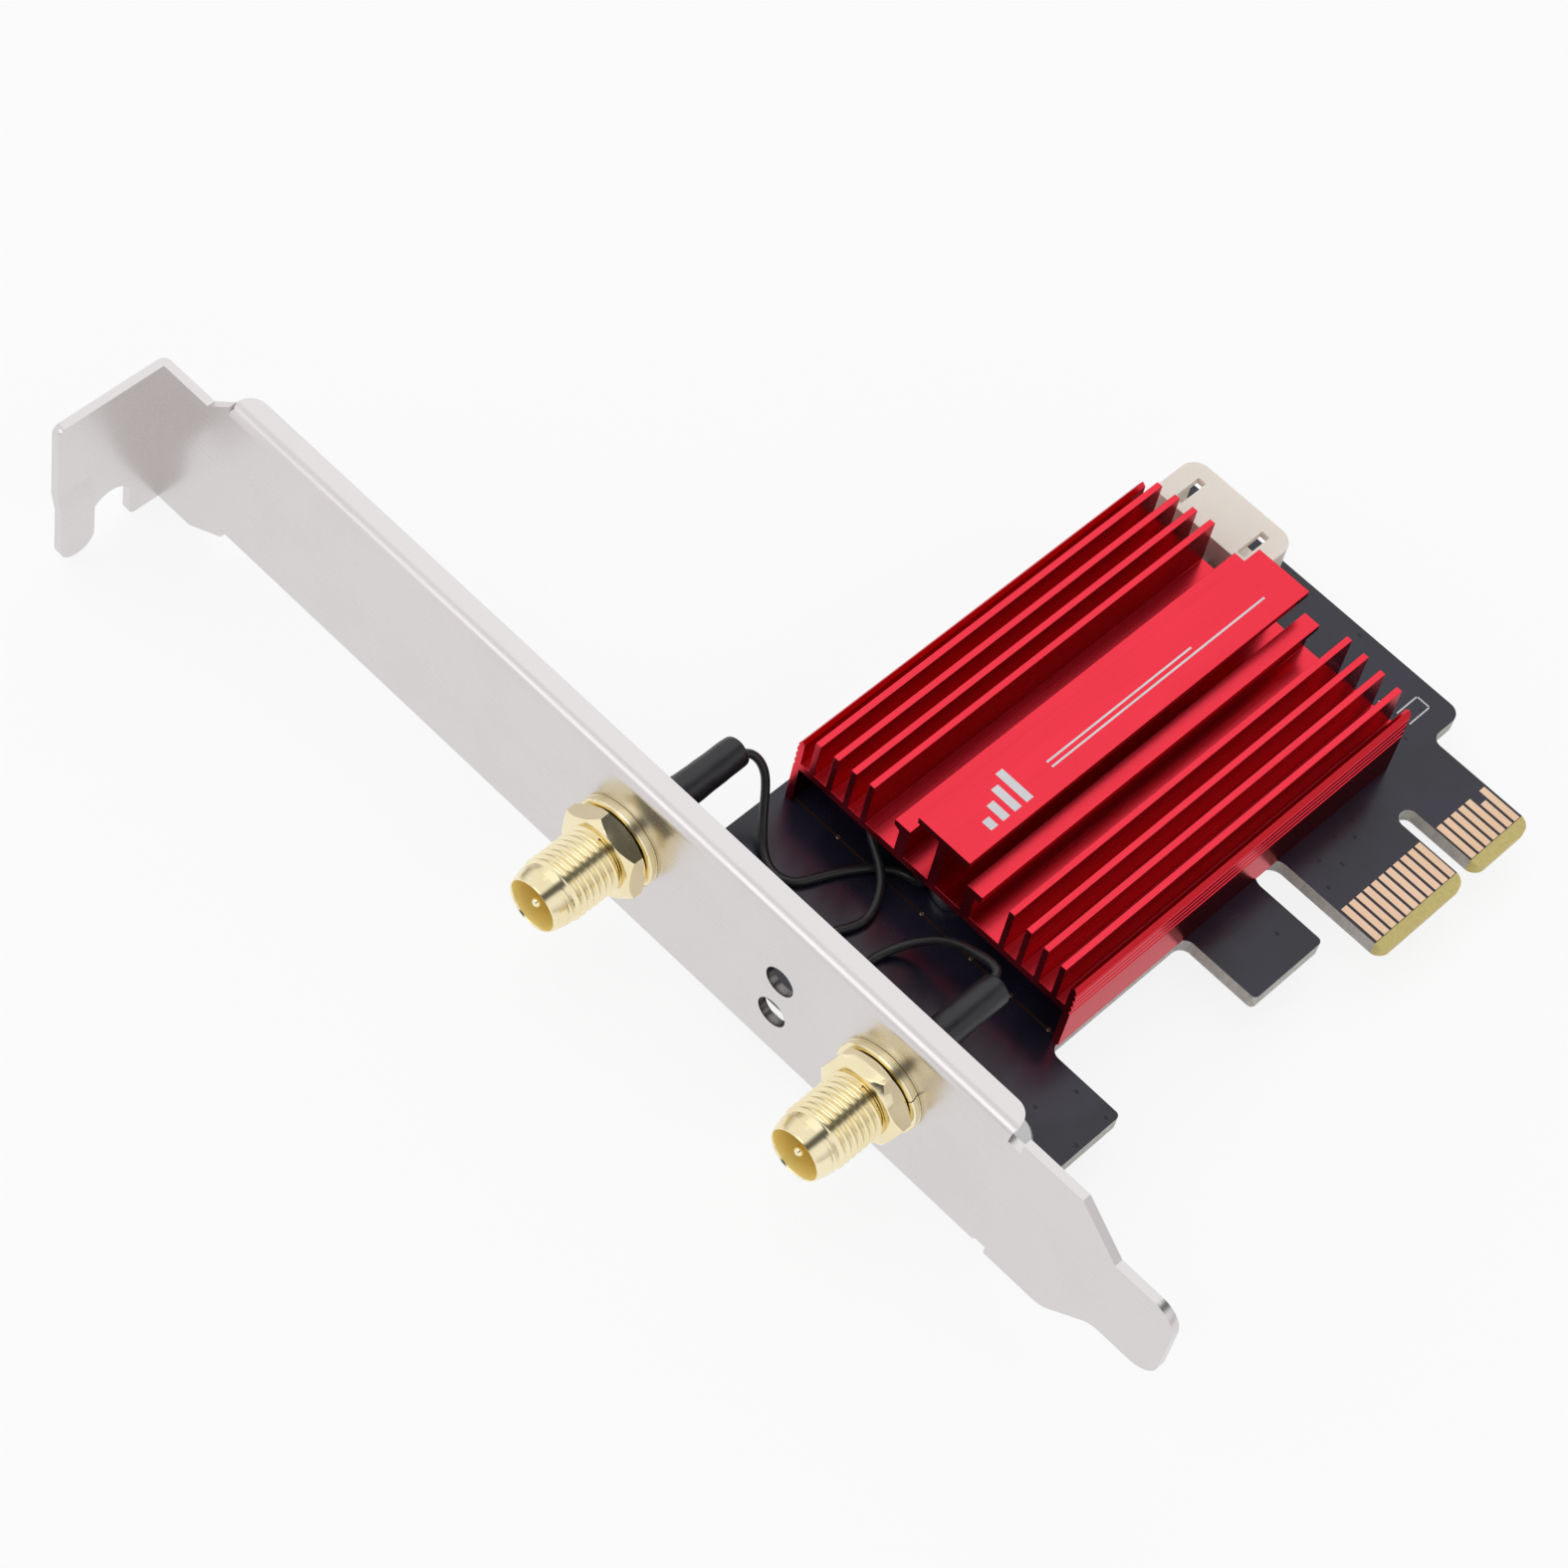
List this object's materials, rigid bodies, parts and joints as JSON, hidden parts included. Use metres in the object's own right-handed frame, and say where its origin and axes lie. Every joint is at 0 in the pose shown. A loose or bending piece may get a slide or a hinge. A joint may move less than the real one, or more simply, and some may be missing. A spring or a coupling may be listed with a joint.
{
  "type": "wireless network card",
  "caption": "Wireless network card for a one-lane expansion slot: folded steel bracket, gold antenna jacks, black board and a red finned heatsink.",
  "frame": {"origin": "middle of the key notch on the contact edge, in the plane of the board's component side", "axes": "+X along the board away from the bracket, +Y along the bracket's length towards its screw tab, +Z out of the component side"},
  "size_m": [0.0826, 0.12, 0.0209],
  "materials": {
    "bracket_steel": "satin nickel plate",
    "board": "gloss black solder mask",
    "contact_gold": "satin gold plate",
    "red_anodised": "satin red anodised",
    "screw_steel": "satin",
    "jack_gold": "polished gold plate",
    "insulator": "matte white",
    "sleeve_rubber": "satin black",
    "lead_jacket": "satin black",
    "header_nylon": "natural nylon",
    "pin_metal": "tin plate",
    "module_laminate": "gloss green solder mask",
    "chip_package": "matte black",
    "shield_metal": "tin plate",
    "thermal_rubber": "matte grey",
    "socket_plastic": "matte black",
    "ceramic": "matte tan"
  },
  "bodies": {
    "root": {"bracket": "bracket_steel", "circuit_board": "board", "edge_contacts_component_side": "contact_gold", "edge_contacts_solder_side": "contact_gold", "heatsink": "red_anodised", "heatsink_screws": "screw_steel", "bracket_screws": "screw_steel", "antenna_jack_upper": "jack_gold", "jack_insulator_upper": "insulator", "jack_pin_upper": "contact_gold", "lock_washer_upper": "jack_gold", "jack_nut_upper": "jack_gold", "crimp_ferrule_upper": "jack_gold", "heatshrink_sleeve_upper": "sleeve_rubber", "coax_lead_upper": "lead_jacket", "coax_plug_upper": "jack_gold", "antenna_jack_lower": "jack_gold", "jack_insulator_lower": "insulator", "jack_pin_lower": "contact_gold", "lock_washer_lower": "jack_gold", "jack_nut_lower": "jack_gold", "crimp_ferrule_lower": "jack_gold", "heatshrink_sleeve_lower": "sleeve_rubber", "coax_lead_lower": "lead_jacket", "coax_plug_lower": "jack_gold", "cable_header": "header_nylon", "header_pins": "pin_metal", "module_board": "module_laminate", "radio_chip": "chip_package", "module_shield": "shield_metal", "thermal_pad": "thermal_rubber", "module_socket": "socket_plastic", "socket_contacts": "pin_metal", "module_standoff": "screw_steel", "module_screw": "screw_steel", "antenna_receptacles": "contact_gold", "chip_capacitors": "ceramic"}
  },
  "joints": []
}
